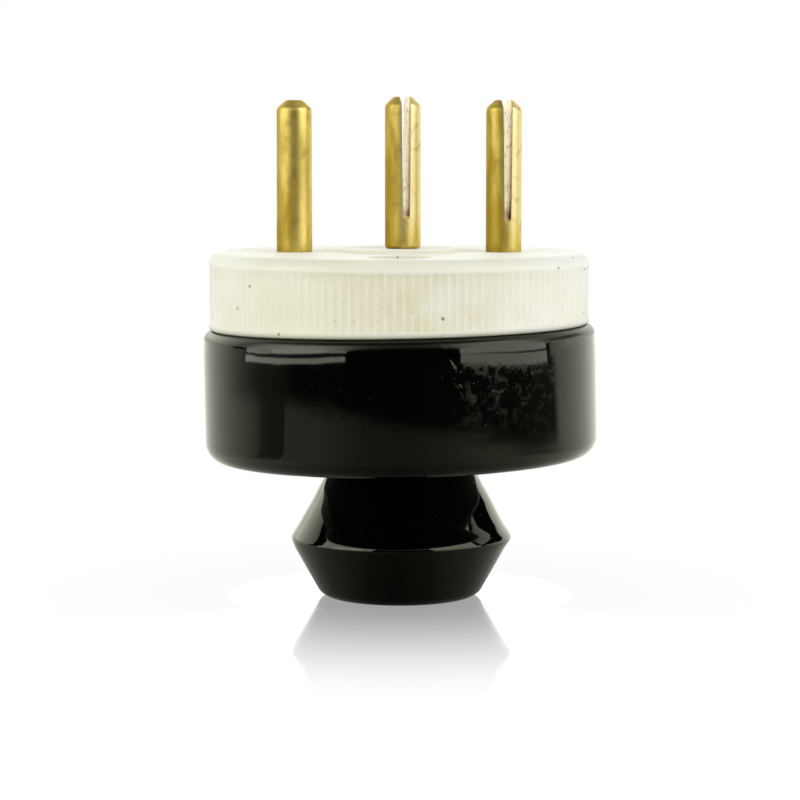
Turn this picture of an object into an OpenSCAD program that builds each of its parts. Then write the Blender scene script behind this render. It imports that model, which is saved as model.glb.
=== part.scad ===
// Three-pin porcelain power plug, standing on the foot of its cord neck with its pins up.
// Millimetres. Z runs up the plug's axis from the foot, X runs along the row of pins.
// The drum and its seam lean a little, as fired porcelain does. Pins, face and neck are square.

/* [Drum] */
// Diameter of the black drum
drum_d = 53; // [49:0.5:66]
// Height of the drum, from its underside to the seam
drum_h = 17.85; // [14:0.05:24]
// Porcelain wall round the wiring space
drum_wall = 4.5; // [3.5:0.25:6]
// Porcelain under the wiring space
floor_t = 3.7; // [3:0.1:5]
// Rounding of the drum's lower edge
drum_foot_r = 2.6; // [0.5:0.1:3]
// Rounding of the drum's upper edge, outside the seam
drum_rim_r = 1.5; // [0.5:0.1:1.6]
// Depth below the seam from which the drum's wall leans in
crown_h = 3.4; // [3.1:0.1:5]
// How far the wall has leaned in at the seam
crown_in = 0.19; // [0.05:0.01:0.25]
// Rounding between the leaning and the upright stretch of the wall, where the rim leaves it room
crown_soft_r = 65; // [10:5:90]
// Lean of the drum and seam, higher on the +X side
seam_lean = 1.1; // [0:0.1:1.5]

/* [Neck] */
// Height of the cord neck, from its foot to the drum
neck_h = 18.9; // [15:0.1:24]
// Diameter of the neck where it meets the drum
waist_d = 18; // [15:0.2:22]
// Hollow rounding between the neck and the drum
waist_fillet = 1; // [0.4:0.1:1.5]
// Diameter of the finger ring
ring_d = 29.9; // [25:0.1:36]
// Height of the finger ring's edge above the foot
ring_z = 7.8; // [5:0.2:10]
// Rounding of the finger ring's edge
ring_r = 0.6; // [0.2:0.1:1]
// Diameter where the lower cone reaches the foot's plane
foot_d = 21.2; // [19:0.2:24]
// Rounding of the foot's edge
foot_r = 2; // [0.8:0.1:2.4]

/* [Cord bore] */
// Diameter of the cord bore
bore_d = 10; // [7:0.5:12]
// Rounding of the cord bore's lower mouth
mouth_r = 2; // [0.5:0.25:2.25]
// Rounding of the cord bore's upper mouth, in the wiring space
inner_mouth_r = 1; // [0.25:0.25:2]

/* [Pin plate] */
// Height of the white plate, from the seam to its face
plate_h = 9.95; // [8:0.05:13]
// How far the drum stands out past the plate
plate_step = 0.85; // [0.5:0.05:2]
// Rounding of the plate's upper edge
shoulder_r = 1.8; // [0.8:0.1:2.5]
// Depth of the spigot that drops into the drum
spigot_h = 2; // [1:0.1:3]
// Diameter of the low round boss in the middle of the face
boss_d = 16; // [12:0.5:20]
// Height of the low round boss
boss_h = 0.45; // [0.2:0.05:1]
// Rounding at the foot and the edge of the low round boss, where its height allows it
boss_soft_r = 0.2; // [0.05:0.05:0.5]
// Porcelain left between each pin and its terminal
face_t = 5; // [4:0.1:6]
// Diameter of each terminal pocket
pocket_d = 12; // [10:0.25:13]
// Least porcelain between a pocket and the spigot's side
pocket_wall = 1.2; // [0.8:0.1:2]

/* [Ribbed edge] */
// Number of fine ribs round the plate
rib_count = 140; // [90:1:180]
// Height of each rib above the groove beside it
rib_h = 0.15; // [0.1:0.05:0.4]
// Width of each rib at its foot
rib_w = 0.62; // [0.4:0.02:0.7]
// Width of each rib at its crest
crest_w = 0.3; // [0.1:0.02:0.38]
// How far the crests lie inside the plate's full size
rib_inset = 0.06; // [0.02:0.02:0.2]
// Depth from the face to the top of the ribs
rib_top = 1.6; // [0.8:0.1:3]
// Height of the plain lip between the ribs and the seam
lip_h = 0.6; // [0.3:0.1:1.5]

/* [Pins] */
// Diameter of each pin
pin_d = 4.8; // [4:0.1:6]
// Length of each pin above its seat
pin_len = 20.35; // [16:0.05:26]
// Distance of each outer pin from the plug's axis
pin_pitch = 14.1; // [13:0.1:17]
// How far the middle pin stands off the plug's axis
middle_shift = 0.5; // [0:0.1:1]
// Height of the chamfer at the tip
tip_h = 1.1; // [0.6:0.05:2]
// Diameter of the flat at the tip
tip_flat_d = 2.4; // [1:0.1:3]
// Softening of the chamfer's two corners
tip_soft_r = 0.9; // [0.2:0.05:1.1]
// Rounding at the foot of the middle pin
pin_foot_r = 0.45; // [0.1:0.05:0.5]
// Depth of the slot that splits the pin
slot_len = 16.25; // [10:0.05:18]
// Width of the slot at its root
slot_root_w = 0.9; // [0.5:0.05:1.2]
// Width of the slot at the tip, where the prongs spring apart
slot_tip_w = 1.3; // [0.6:0.05:1.6]
// Turn of the middle and right pins' slots away from the Y axis
slot_turn = 12; // [0:1:45]
// Turn of the left pin's slot, which runs across the row
left_slot_turn = 90; // [0:1:90]

/* [Terminals] */
// Diameter of the pins' threaded shank
shank_d = 3.5; // [3:0.1:4]
// Length of shank past the last nut
shank_end = 1; // [0.5:0.1:2]
// Width across the flats of the hexagon nuts
nut_af = 6; // [5.5:0.1:7]
// Height of the nut that fixes each pin
fixing_nut_h = 2.8; // [2:0.1:3.5]
// Height of the nut that clamps each wire
terminal_nut_h = 2.4; // [1.8:0.1:3.5]
// Diameter of the washer against the porcelain
seat_washer_d = 8; // [7.5:0.1:9]
// Thickness of the washer against the porcelain
seat_washer_t = 0.8; // [0.5:0.1:1.2]
// Diameter of the washer that presses on the wire
terminal_washer_d = 7.4; // [7:0.1:8.5]
// Thickness of the washer that presses on the wire
terminal_washer_t = 0.7; // [0.5:0.1:1.2]

/* [Assembly screws] */
// Distance of each screw's axis from the spigot's side
screw_edge = 5.3; // [5:0.1:6]
// Diameter of the screws
screw_d = 3.5; // [3:0.1:4]
// Diameter of the cheese head
head_d = 6.4; // [5.8:0.1:7]
// Height of the cheese head
head_h = 2.4; // [1.8:0.1:3]
// Width of the screwdriver slot
driver_slot_w = 0.9; // [0.6:0.05:1.2]
// Depth of the screwdriver slot
driver_slot_h = 1.1; // [0.6:0.1:1.5]
// How far each head lies below the face
head_sink = 0.8; // [0.2:0.1:1.5]
// Rounding of the edge of each head's recess
recess_soft_r = 0.5; // [0.1:0.1:1]
// Thickness of the fibre washer under the head
fibre_t = 0.8; // [0.5:0.1:1.5]
// Diameter of the fibre washer
fibre_d = 7.2; // [6.8:0.1:7.4]
// Length of screw past its nut
screw_end = 1.6; // [0.5:0.1:2]
// Width across the flats of the square nuts
square_nut_af = 6; // [5.5:0.1:7]
// Height of the square nuts
square_nut_h = 2.8; // [2:0.1:3.2]
// Diameter of the drum's inner bosses that hold the nuts
screw_boss_d = 9; // [8.5:0.1:10]
// Porcelain over each nut
nut_roof = 2.6; // [2:0.1:3]

/* [Fits] */
// Gap round the spigot in the drum
spigot_gap = 0.2; // [0.1:0.05:0.4]
// Gap under the spigot, above the drum's inner bosses
boss_gap = 0.3; // [0.1:0.05:0.6]
// Least gap beside each washer in its pocket
washer_gap = 0.2; // [0.1:0.05:0.4]
// Gap round each shank in its hole
shank_gap = 0.15; // [0.1:0.05:0.4]
// Gap round each screw in its hole
screw_gap = 0.25; // [0.1:0.05:0.5]
// Gap round each fibre washer in its recess
recess_gap = 0.3; // [0.1:0.05:0.5]
// Gap beside and under each square nut in its slot
nut_gap = 0.2; // [0.1:0.05:0.4]
// Gap between a shank or screw and the plain bore of a nut or washer
thread_gap = 0.05; // [0.02:0.01:0.1]
// Lead at the end of each thread
thread_lead = 0.4; // [0.2:0.05:0.6]
// Chamfer on the corners of the nuts
nut_chamfer = 0.35; // [0.1:0.05:0.6]

/* [Hidden] */

$fn = 96;
// Straight steps in each rounded corner of an outline
ARC_STEPS = 8;
// Overshoot of a cut past the surface it opens
CUT = 1;
// Most of a step's height that each of its two roundings may take
STEP_SHARE = 0.45;
// The three pins, in order
LEFT = 0;
MIDDLE = 1;
RIGHT = 2;
// The two assembly screws' sides of the axis
FRONT = -1;
BACK = 1;

drum_r = drum_d / 2;
hollow_r = drum_r - drum_wall;
plate_r = drum_r - plate_step;
spigot_r = hollow_r - spigot_gap;
pin_r = pin_d / 2;
shank_r = shank_d / 2;
bore_r = bore_d / 2;
boss_soft = min(boss_soft_r, STEP_SHARE * boss_h);
crown_soft = min(crown_soft_r, (crown_h - drum_rim_r) / tan(atan(crown_in / crown_h) / 2));

floor_z = neck_h + floor_t;
seam_z = neck_h + drum_h;
face_z = seam_z + plate_h;
spigot_z = seam_z - spigot_h;
rib_top_z = face_z - rib_top;

pin_x = [-pin_pitch, middle_shift, pin_pitch];
pin_seat_z = [face_z, face_z + boss_h, face_z];
pin_foot = [0, pin_foot_r, 0];
pin_slot_turn = [left_slot_turn, slot_turn, slot_turn];

// Depths below the pin's seat, in the order the pieces go onto the shank
fixing_nut_at = face_t + seat_washer_t;
terminal_washer_at = fixing_nut_at + fixing_nut_h;
terminal_nut_at = terminal_washer_at + terminal_washer_t;
shank_len = terminal_nut_at + terminal_nut_h + shank_end;

// The pockets stop short of the spigot's side, but always leave room for the washers
washer_reach = pin_pitch + max(seat_washer_d, terminal_washer_d) / 2 + washer_gap;
pocket_reach = max(spigot_r - pocket_wall, washer_reach);

screw_y = spigot_r - screw_edge;
recess_r = fibre_d / 2 + recess_gap;
head_top_z = face_z - head_sink;
fibre_top_z = head_top_z - head_h;
recess_z = fibre_top_z - fibre_t;
screw_boss_z = spigot_z - boss_gap;
nut_top_z = screw_boss_z - nut_roof;
nut_slot_h = square_nut_h + nut_gap;
screw_tip_z = nut_top_z - square_nut_h - screw_end;

function unit(v) = v / norm(v);

// Points of an arc that rounds the corner at b, between a and c
function arc_corner(a, b, c, r) =
  let (
    u = unit(a - b),
    v = unit(c - b),
    half = acos(u * v) / 2,
    centre = b + unit(u + v) * r / sin(half),
    from = b + u * r / tan(half) - centre,
    to = b + v * r / tan(half) - centre,
    start = atan2(from[1], from[0]),
    sweep = (atan2(to[1], to[0]) - start + 540) % 360 - 180
  )
  [for (k = [0:ARC_STEPS]) centre + r * [cos(start + sweep * k / ARC_STEPS), sin(start + sweep * k / ARC_STEPS)]];

// An outline from corners given as [x, y, rounding]
function rounded(corners) =
  let (n = len(corners), at = [for (c = corners) [c[0], c[1]]])
  [for (i = [0:n - 1]) each corners[i][2] == 0
    ? [at[i]]
    : arc_corner(at[(i + n - 1) % n], at[i], at[(i + 1) % n], corners[i][2])];

// Solid turned from an outline whose corners are [radius, height, rounding]
module turned(corners) {
  rotate_extrude() polygon(rounded(corners));
}

// Frame of the leaning drum, with its origin where the seam meets the axis
module at_seam() {
  translate([0, 0, seam_z]) rotate([0, -seam_lean, 0]) children();
}

// Everything under the leaning plane at a height above the seam
module below_seam(h) {
  at_seam() translate([-drum_d, -drum_d, h - 2 * drum_h]) cube([2 * drum_d, 2 * drum_d, 2 * drum_h]);
}

module drum_body() {
  at_seam() turned([
    [0, 0, 0],
    [0, -drum_h, 0],
    [drum_r, -drum_h, drum_foot_r],
    [drum_r, -crown_h, crown_soft],
    [drum_r - crown_in, 0, drum_rim_r],
  ]);
}

// The waist ends in a shallow rising skirt, so that its hollow rounding runs into the leaning drum
module neck_body() {
  skirt = [waist_d / 2 + 4, neck_h + 0.4];
  turned([
    [0, 0, 0],
    [foot_d / 2, 0, foot_r],
    [ring_d / 2, ring_z, ring_r],
    [waist_d / 2, neck_h, waist_fillet],
    [skirt[0], skirt[1], 0],
    [skirt[0], floor_z - CUT, 0],
    [0, floor_z - CUT, 0],
  ]);
}

// Cord bore with a rounded mouth at each end
module cord_bore() {
  turned([
    [0, -CUT, 0],
    [bore_r + mouth_r + CUT, -CUT, 0],
    [bore_r + mouth_r + CUT, 0, 0],
    [bore_r, 0, mouth_r],
    [bore_r, floor_z, inner_mouth_r],
    [bore_r + inner_mouth_r + CUT, floor_z, 0],
    [bore_r + inner_mouth_r + CUT, floor_z + CUT, 0],
    [0, floor_z + CUT, 0],
  ]);
}

// Boss inside the drum, joined to its wall
module screw_boss(side) {
  h = screw_boss_z - floor_z + CUT;
  translate([0, side * screw_y, floor_z - CUT]) {
    cylinder(d = screw_boss_d, h = h);
    translate([-screw_boss_d / 2, side > 0 ? 0 : -screw_edge - CUT, 0])
      cube([screw_boss_d, screw_edge + CUT, h]);
  }
}

// Blind screw hole with a slot that takes the square nut from the wiring space
module screw_boss_cut(side) {
  reach = screw_boss_d / 2 + CUT;
  back = square_nut_af / 2 + nut_gap;
  translate([0, side * screw_y, 0]) {
    translate([0, 0, screw_tip_z - nut_gap])
      cylinder(r = screw_d / 2 + screw_gap, h = screw_boss_z - screw_tip_z + nut_gap + CUT);
    translate([-back, side > 0 ? -reach : -back, nut_top_z - nut_slot_h])
      cube([2 * back, reach + back, nut_slot_h]);
  }
}

module cap() {
  color("#17191b")
  difference() {
    union() {
      difference() {
        union() {
          drum_body();
          neck_body();
        }
        translate([0, 0, floor_z]) cylinder(r = hollow_r, h = drum_h + CUT);
      }
      screw_boss(FRONT);
      screw_boss(BACK);
    }
    cord_bore();
    screw_boss_cut(FRONT);
    screw_boss_cut(BACK);
  }
}

// One rib's four corners, about its own angle
function rib(turn) =
  let (
    foot_at = plate_r - rib_inset - rib_h,
    crest_at = plate_r - rib_inset,
    foot_half = asin(rib_w / 2 / foot_at),
    crest_half = asin(crest_w / 2 / crest_at)
  )
  [
    foot_at * [cos(turn - foot_half), sin(turn - foot_half)],
    crest_at * [cos(turn - crest_half), sin(turn - crest_half)],
    crest_at * [cos(turn + crest_half), sin(turn + crest_half)],
    foot_at * [cos(turn + foot_half), sin(turn + foot_half)],
  ];

// Ring that is cut away round the ribs, from the lip up to the shoulder
module rib_band() {
  difference() {
    translate([0, 0, seam_z - CUT]) linear_extrude(height = rib_top_z - seam_z + CUT) difference() {
      circle(r = plate_r + CUT);
      polygon([for (i = [0:rib_count - 1]) each rib(i * 360 / rib_count)]);
    }
    below_seam(lip_h);
  }
}

// Space for one pin's nuts and washers, open towards the drum
module terminal_pocket(i) {
  intersection() {
    translate([pin_x[i], 0, spigot_z - CUT])
      cylinder(d = pocket_d, h = pin_seat_z[i] - face_t - spigot_z + CUT);
    translate([0, 0, spigot_z - CUT]) cylinder(r = pocket_reach, h = plate_h + spigot_h);
  }
}

module pin_hole(i) {
  translate([pin_x[i], 0, pin_seat_z[i] - face_t - CUT]) cylinder(r = shank_r + shank_gap, h = face_t + 2 * CUT);
}

// Through hole for one screw, with a round-edged recess for its washer and head
module screw_hole(side) {
  wide_r = recess_r + recess_soft_r + CUT;
  translate([0, side * screw_y, 0]) {
    translate([0, 0, spigot_z - CUT]) cylinder(r = screw_d / 2 + screw_gap, h = plate_h + spigot_h);
    turned([
      [0, recess_z, 0],
      [recess_r, recess_z, 0],
      [recess_r, face_z, recess_soft_r],
      [wide_r, face_z, 0],
      [wide_r, face_z + CUT, 0],
      [0, face_z + CUT, 0],
    ]);
  }
}

module pin_plate() {
  color("#f0eddc")
  difference() {
    union() {
      difference() {
        turned([
          [0, seam_z - CUT, 0],
          [plate_r, seam_z - CUT, 0],
          [plate_r, face_z, shoulder_r],
          [boss_d / 2, face_z, boss_soft],
          [boss_d / 2, face_z + boss_h, boss_soft],
          [0, face_z + boss_h, 0],
        ]);
        below_seam(0);
        rib_band();
      }
      translate([0, 0, spigot_z]) cylinder(r = spigot_r, h = spigot_h + CUT);
    }
    for (i = [LEFT, MIDDLE, RIGHT]) {
      terminal_pocket(i);
      pin_hole(i);
    }
    screw_hole(FRONT);
    screw_hole(BACK);
  }
}

// Tapered slot with a round root, open at the tip
module pin_slot() {
  root = slot_root_w / 2;
  open = slot_tip_w / 2 + (slot_tip_w - slot_root_w) / 2 * CUT / slot_len;
  rotate([90, 0, 0]) linear_extrude(height = pin_d + 2 * CUT, center = true) polygon(rounded([
    [-root, pin_len - slot_len, root * 0.9],
    [root, pin_len - slot_len, root * 0.9],
    [open, pin_len + CUT, 0],
    [-open, pin_len + CUT, 0],
  ]));
}

// One pin, turned in its hole so that its slot points its own way
module pin(i) {
  color("#c4a23c")
  translate([pin_x[i], 0, pin_seat_z[i]]) rotate([0, 0, pin_slot_turn[i]]) difference() {
    turned([
      [0, -shank_len, 0],
      [shank_r - thread_lead, -shank_len, 0],
      [shank_r, -shank_len + thread_lead, 0],
      [shank_r, 0, 0],
      [pin_r, 0, pin_foot[i]],
      [pin_r, pin_len - tip_h, tip_soft_r],
      [tip_flat_d / 2, pin_len, tip_soft_r / 2],
      [0, pin_len, 0],
    ]);
    pin_slot();
  }
}

// Flat washer with its top face at z = 0
module washer(d, hole_r, t) {
  translate([0, 0, -t]) difference() {
    cylinder(d = d, h = t);
    translate([0, 0, -CUT]) cylinder(r = hole_r, h = t + 2 * CUT);
  }
}

// Hexagon nut with its top face at z = 0 and its corners turned off at both ends
module hex_nut(h) {
  corner_r = nut_af / sqrt(3);
  translate([0, 0, -h]) difference() {
    intersection() {
      cylinder(r = corner_r, h = h, $fn = 6);
      turned([
        [0, 0, 0],
        [corner_r - nut_chamfer, 0, 0],
        [corner_r + CUT, (nut_chamfer + CUT) / 2, 0],
        [corner_r + CUT, h - (nut_chamfer + CUT) / 2, 0],
        [corner_r - nut_chamfer, h, 0],
        [0, h, 0],
      ]);
    }
    translate([0, 0, -CUT]) cylinder(r = shank_r + thread_gap, h = h + 2 * CUT);
  }
}

// Places a piece on a pin's shank, at a depth below the pin's seat
module on_shank(i, depth) {
  translate([pin_x[i], 0, pin_seat_z[i] - depth]) children();
}

module seat_washer(i) {
  color("#b8963a") on_shank(i, face_t) washer(seat_washer_d, shank_r + thread_gap, seat_washer_t);
}

module fixing_nut(i) {
  color("#c09a38") on_shank(i, fixing_nut_at) hex_nut(fixing_nut_h);
}

module terminal_washer(i) {
  color("#b8963a") on_shank(i, terminal_washer_at) washer(terminal_washer_d, shank_r + thread_gap, terminal_washer_t);
}

module terminal_nut(i) {
  color("#c09a38") on_shank(i, terminal_nut_at) rotate([0, 0, 30]) hex_nut(terminal_nut_h);
}

module screw(side) {
  color("#c9a545")
  translate([0, side * screw_y, 0]) difference() {
    turned([
      [0, screw_tip_z, 0],
      [screw_d / 2 - thread_lead, screw_tip_z, 0],
      [screw_d / 2, screw_tip_z + thread_lead, 0],
      [screw_d / 2, fibre_top_z, 0],
      [head_d / 2, fibre_top_z, 0],
      [head_d / 2, head_top_z, thread_lead],
      [0, head_top_z, 0],
    ]);
    translate([-head_d / 2 - CUT, -driver_slot_w / 2, head_top_z - driver_slot_h])
      cube([head_d + 2 * CUT, driver_slot_w, driver_slot_h + CUT]);
  }
}

module screw_washer(side) {
  color("#7d3d2c") translate([0, side * screw_y, fibre_top_z]) washer(fibre_d, screw_d / 2 + thread_gap, fibre_t);
}

module square_nut(side) {
  color("#b39140")
  translate([0, side * screw_y, nut_top_z - square_nut_h]) difference() {
    translate([-square_nut_af / 2, -square_nut_af / 2, 0]) cube([square_nut_af, square_nut_af, square_nut_h]);
    translate([0, 0, -CUT]) cylinder(r = screw_d / 2 + thread_gap, h = square_nut_h + 2 * CUT);
  }
}

cap();
pin_plate();
pin(LEFT);  // pin_left
pin(MIDDLE);  // pin_middle
pin(RIGHT);  // pin_right
seat_washer(LEFT);  // seat_washer_left
seat_washer(MIDDLE);  // seat_washer_middle
seat_washer(RIGHT);  // seat_washer_right
fixing_nut(LEFT);  // fixing_nut_left
fixing_nut(MIDDLE);  // fixing_nut_middle
fixing_nut(RIGHT);  // fixing_nut_right
terminal_washer(LEFT);  // terminal_washer_left
terminal_washer(MIDDLE);  // terminal_washer_middle
terminal_washer(RIGHT);  // terminal_washer_right
terminal_nut(LEFT);  // terminal_nut_left
terminal_nut(MIDDLE);  // terminal_nut_middle
terminal_nut(RIGHT);  // terminal_nut_right
screw(FRONT);  // screw_front
screw(BACK);  // screw_back
screw_washer(FRONT);  // screw_washer_front
screw_washer(BACK);  // screw_washer_back
square_nut(FRONT);  // square_nut_front
square_nut(BACK);  // square_nut_back
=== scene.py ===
from math import atan2, cos, hypot, pi, radians, sin, tan

import bmesh
import bpy
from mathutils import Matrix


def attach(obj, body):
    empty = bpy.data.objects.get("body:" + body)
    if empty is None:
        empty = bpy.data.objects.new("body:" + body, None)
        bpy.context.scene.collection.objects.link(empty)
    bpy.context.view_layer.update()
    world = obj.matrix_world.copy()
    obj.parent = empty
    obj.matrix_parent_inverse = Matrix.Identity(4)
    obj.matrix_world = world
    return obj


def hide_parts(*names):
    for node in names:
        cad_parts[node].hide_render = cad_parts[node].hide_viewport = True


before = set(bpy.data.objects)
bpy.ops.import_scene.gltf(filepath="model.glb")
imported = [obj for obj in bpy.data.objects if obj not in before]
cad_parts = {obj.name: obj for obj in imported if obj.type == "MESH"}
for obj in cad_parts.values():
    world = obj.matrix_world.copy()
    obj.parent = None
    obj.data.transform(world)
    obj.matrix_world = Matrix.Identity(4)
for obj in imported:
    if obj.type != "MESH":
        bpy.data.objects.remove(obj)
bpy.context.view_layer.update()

# Cap. The black half of the plug is one piece of electrical porcelain: a drum with a waisted neck
# for the cord. It was pressed in a steel mould, dipped in black glaze and fired, and it leaned a
# little in the kiln. Two bosses inside take the assembly screws and hold their square nuts.

# Sizes are in mm, and Blender works in metres
MM = 0.001
# The drum leans about the middle of the seam, which is the plane that the two halves share
seam_z = 36.75
seam_lean = radians(1.1)
drum_r = 26.5
hollow_r = 22.0
# How far the drum's lower edge, its rim and the cord bore's two ends are rounded
drum_foot_r = 2.6
rim_r = 1.5
mouth_r = 2.0
inner_mouth_r = 1.0
floor_z = 22.6
neck_h = 18.9
foot_r = 10.6
waist_r = 9.0
ring_r = 14.95
ring_z = 7.8
bore_r = 5.0
# The neck isn't quite true. It stands to the right, and its waist and ring are drawn further that way
neck_shift = 0.12
waist_bend = 0.24
ring_pull = 0.17
# The wall leans in by crown_in over the last crown_h below the seam
crown_h = 3.4
crown_in = 0.19
crown_soft_r = 65.0


def select_only(piece):
    """Selects one piece and nothing else."""
    bpy.ops.object.select_all(action="DESELECT")
    piece.select_set(True)
    bpy.context.view_layer.objects.active = piece


def start_edit(piece):
    """Opens one piece in edit mode with nothing picked."""
    select_only(piece)
    bpy.ops.object.mode_set(mode="EDIT")
    bpy.ops.mesh.select_mode(type="VERT")
    bpy.ops.mesh.select_all(action="DESELECT")


def pick(piece, wanted):
    """In edit mode, selects the points whose x, y and z in mm pass the test, and only those."""
    shape = bmesh.from_edit_mesh(piece.data)
    for point in shape.verts:
        point.select = bool(wanted(*(value / MM for value in point.co)))
    shape.select_flush_mode()
    bmesh.update_edit_mesh(piece.data)


def round_corner(piece, before, corner, after):
    """Rounds one corner of an outline in the XZ plane. Corners are (x, z, rounding) in mm."""
    x, z, rounding = corner
    one = atan2(before[1] - z, before[0] - x)
    two = atan2(after[1] - z, after[0] - x)
    between = abs((one - two + pi) % (2 * pi) - pi)
    pick(piece, lambda px, py, pz: hypot(px - x, pz - z) < 0.001)
    steps = max(4, round((pi - between) / radians(7)))
    bpy.ops.mesh.bevel(affect="VERTICES", offset=rounding * MM / tan(between / 2), segments=steps)


def outline(name, corners, closed=False):
    """Draws an outline in the XZ plane, through (radius, height, rounding) corners in mm."""
    bpy.ops.object.select_all(action="DESELECT")
    bpy.ops.mesh.primitive_plane_add(size=MM)
    piece = bpy.context.object
    piece.name = name
    start_edit(piece)
    bpy.ops.mesh.select_all(action="SELECT")
    bpy.ops.mesh.merge(type="CENTER")
    bpy.ops.transform.translate(value=(corners[0][0] * MM, 0, corners[0][1] * MM))
    route = corners + corners[:1] if closed else corners
    for here, there in zip(route, route[1:]):
        step = ((there[0] - here[0]) * MM, 0, (there[1] - here[1]) * MM)
        bpy.ops.mesh.extrude_vertices_move(TRANSFORM_OT_translate={"value": step})
    bpy.ops.mesh.select_all(action="SELECT")
    bpy.ops.mesh.remove_doubles(threshold=0.0001 * MM)
    for index, corner in enumerate(corners):
        if corner[2]:
            round_corner(piece, corners[index - 1], corner, corners[(index + 1) % len(corners)])
    return piece


def turned(name, corners, around=96, longest=4.0, closed=False):
    """Spins an outline once round, after cutting its lines to at most longest, in mm."""
    piece = outline(name, corners, closed)
    while True:
        shape = bmesh.from_edit_mesh(piece.data)
        for point in shape.verts:
            point.select = False
        long_edges = [edge for edge in shape.edges if edge.calc_length() > longest * MM]
        if not long_edges:
            break
        for edge in long_edges:
            edge.select_set(True)
        bmesh.update_edit_mesh(piece.data)
        bpy.ops.mesh.subdivide(number_cuts=1)
    bpy.ops.mesh.select_all(action="SELECT")
    bpy.ops.mesh.spin(steps=around, angle=2 * pi, center=(0, 0, 0), axis=(0, 0, 1))
    close_up(piece)
    return piece


def close_up(piece):
    """Merges doubled points, turns every face outwards and leaves edit mode."""
    bpy.ops.mesh.select_all(action="SELECT")
    bpy.ops.mesh.remove_doubles(threshold=0.001 * MM)
    bpy.ops.mesh.normals_make_consistent(inside=False)
    bpy.ops.object.mode_set(mode="OBJECT")


def apply_change(piece, kind, **settings):
    """Adds one modifier to a piece and applies it."""
    select_only(piece)
    change = piece.modifiers.new(kind, kind)
    for setting, value in settings.items():
        setattr(change, setting, value)
    bpy.ops.object.modifier_apply(modifier=change.name)


def combine(piece, tool, operation):
    """Joins a second solid to a piece, or cuts it out, and removes it."""
    apply_change(piece, "BOOLEAN", operation=operation, solver="EXACT", object=tool)
    bpy.data.objects.remove(tool)


def block(low, high):
    """A box between two corners in mm."""
    bpy.ops.object.select_all(action="DESELECT")
    bpy.ops.mesh.primitive_cube_add(size=1, location=[(a + b) / 2 * MM for a, b in zip(low, high)])
    box = bpy.context.object
    box.scale = [(b - a) * MM for a, b in zip(low, high)]
    bpy.ops.object.transform_apply(location=True, rotation=True, scale=True)
    return box


def smooth(piece, angle=35):
    """Shades a piece smooth but for edges sharper than the angle, in degrees."""
    select_only(piece)
    bpy.ops.object.shade_smooth_by_angle(angle=radians(angle))


cap = turned("cap_shell", [
    (bore_r, 0, mouth_r),
    (foot_r, 0, 2.0),
    (ring_r, ring_z, 0.6),
    (waist_r, neck_h, 1.0),
    (drum_r, neck_h, drum_foot_r),
    (drum_r, seam_z - crown_h, crown_soft_r),
    (drum_r - crown_in, seam_z, rim_r),
    (hollow_r, seam_z, 0.15),
    (hollow_r, floor_z, 0.5),
    (bore_r, floor_z, inner_mouth_r),
], around=256, longest=2.0, closed=True)


def leaning(x, y, z):
    """Whether a point of the cap leans with the seam: the drum's outside, its underside and its rim."""
    from_axis = hypot(x, y)
    outside = z > neck_h - 1.9 and from_axis > hollow_r + 0.2
    underside = neck_h - 1.9 < z < neck_h + 1.1
    return from_axis > 12 and (outside or underside or z > seam_z - 0.7)


# The drum's outside and its seam lean as one. Its hollow and the neck stay upright
start_edit(cap)
pick(cap, leaning)
bpy.ops.transform.rotate(value=seam_lean, orient_axis="Y", center_override=(0, 0, seam_z * MM))

# The waist bends to the right, and the ring is drawn up to a sharp rim. Each move fades out with
# distance, and only the neck's outside between foot and drum takes part
neck_top = neck_h - 0.6
neck_inside_r = bore_r + 2.3
pick(cap, lambda x, y, z: z < neck_top and hypot(x, y) > neck_inside_r)
bpy.ops.transform.translate(value=(neck_shift * MM, 0, 0))
pick(cap, lambda x, y, z: ring_z - 0.6 < z < neck_top and hypot(x, y) > neck_inside_r)
bpy.ops.mesh.hide(unselected=True)
fading = {"use_proportional_edit": True, "proportional_edit_falloff": "SMOOTH"}
pick(cap, lambda x, y, z: z > neck_h - 2.5)
bpy.ops.transform.translate(value=(waist_bend * MM, 0, 0), proportional_size=8 * MM, **fading)
pick(cap, lambda x, y, z: z < ring_z + 0.6)
ring_fade = 2.4 * MM
bpy.ops.transform.resize(
    value=(1.005, 1.005, 1), center_override=(0, 0, 0), proportional_size=ring_fade, **fading)
bpy.ops.transform.rotate(
    value=radians(0.2), orient_axis="Y", center_override=(0, 0, ring_z * MM),
    proportional_size=ring_fade, **fading)
bpy.ops.transform.translate(
    value=(ring_pull * MM, 0, ring_pull * MM), proportional_size=ring_fade, **fading)
pick(cap, lambda x, y, z: ring_z + 2.4 < z < ring_z + 5.2)
bpy.ops.transform.translate(value=(ring_pull * MM, 0, 0), proportional_size=3 * MM, **fading)
bpy.ops.mesh.reveal(select=False)
bpy.ops.object.mode_set(mode="OBJECT")

# Each boss reaches from the floor to just under the plate's spigot, and out to the wall
screw_y = 16.5
boss_r = 4.5
boss_top = 34.45
nut_top = 31.85
nut_slot_low = 28.85
nut_half = 3.2
screw_hole_r = 2.0
screw_hole_low = 27.25


def rod(radius, low, high, y):
    """An upright cylinder between two heights, in front of or behind the axis, in mm."""
    bpy.ops.object.select_all(action="DESELECT")
    bpy.ops.mesh.primitive_cylinder_add(
        vertices=48, radius=radius * MM, depth=(high - low) * MM,
        location=(0, y * MM, (high + low) / 2 * MM))
    bpy.ops.object.transform_apply(location=True, rotation=True, scale=True)
    return bpy.context.object


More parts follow.
